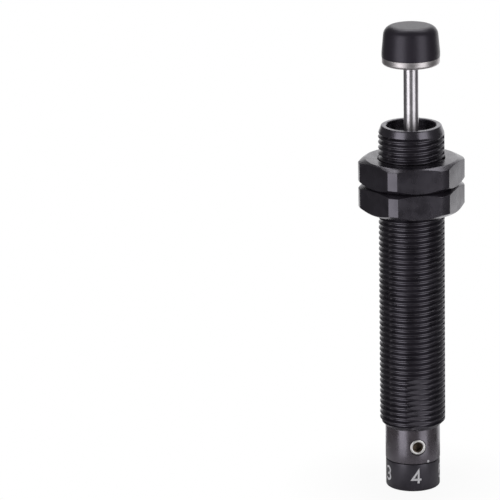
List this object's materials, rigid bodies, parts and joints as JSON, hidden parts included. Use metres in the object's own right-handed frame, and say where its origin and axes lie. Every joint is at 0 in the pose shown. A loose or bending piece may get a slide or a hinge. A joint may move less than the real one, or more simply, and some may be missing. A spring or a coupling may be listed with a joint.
{
  "type": "industrial shock absorber",
  "caption": "Adjustable hydraulic shock absorber with a threaded tube, jam nuts, a sprung rod with a soft strike cap, a numbered dial and a lock screw.",
  "frame": {"origin": "centre of the dial's outer face, which is the rear end of the absorber", "axes": "+Z along the rod's axis towards the strike cap; the lock screw faces -Y, 11.1 degrees towards +X"},
  "size_m": [0.0192, 0.0186, 0.0865],
  "materials": {
    "black_oxide_steel": "satin black oxide",
    "black_nut": "satin black oxide",
    "black_dial": "satin black anodised",
    "machined_steel": "turned",
    "bright_steel": "turned bright",
    "polished_rod": "ground and polished",
    "spring_steel": "bare",
    "bearing_bronze": "turned",
    "seal_rubber": "matt",
    "accumulator_foam": "closed-cell foam",
    "bumper_elastomer": "satin moulded"
  },
  "bodies": {
    "housing": {"outer_tube": "black_oxide_steel", "valve_seat": "machined_steel", "valve_seat_o_ring": "seal_rubber", "pressure_tube": "machined_steel", "rod_bearing": "bearing_bronze", "accumulator_foam": "accumulator_foam", "gland": "machined_steel", "gland_o_ring": "seal_rubber", "rod_seal": "seal_rubber", "wiper_ring": "seal_rubber", "snap_ring": "spring_steel", "return_spring": "spring_steel"},
    "plunger": {"piston_rod": "polished_rod", "piston_clip": "spring_steel", "piston": "machined_steel", "piston_check_ring": "spring_steel", "cap_seat": "bright_steel", "bumper_cap": "bumper_elastomer"},
    "dial": {"adjusting_dial": "black_dial", "adjusting_spindle": "machined_steel", "spindle_o_ring": "seal_rubber"},
    "lock_screw": {"lock_screw": "bright_steel"},
    "front_nut": {"front_nut": "black_nut"},
    "rear_nut": {"rear_nut": "black_nut"}
  },
  "joints": [
    {"name": "rod_slide", "type": "slide", "parent": "housing", "child": "plunger", "axis": [0, 0, -1], "range_m": [0, 0.01105], "stiffness_N_per_m": 400, "springref_m": -0.0075, "deforming": ["return_spring"]},
    {"name": "dial_turn", "type": "hinge", "parent": "housing", "child": "dial", "pos_m": [0, 0, 0], "axis": [0, 0, 1], "range_deg": [-46.1, 241.9]},
    {"name": "lock_screw_turn", "type": "hinge", "parent": "housing", "child": "lock_screw", "pos_m": [0, 0, 0.00852], "axis": [0.1925, -0.9813, 0], "range_deg": [0, 360]},
    {"name": "front_nut_slide", "type": "slide", "parent": "housing", "child": "front_nut", "axis": [0, 0, 1], "range_m": [0, 0.005]},
    {"name": "rear_nut_slide", "type": "slide", "parent": "housing", "child": "rear_nut", "axis": [0, 0, -1], "range_m": [0, 0.03]}
  ]
}
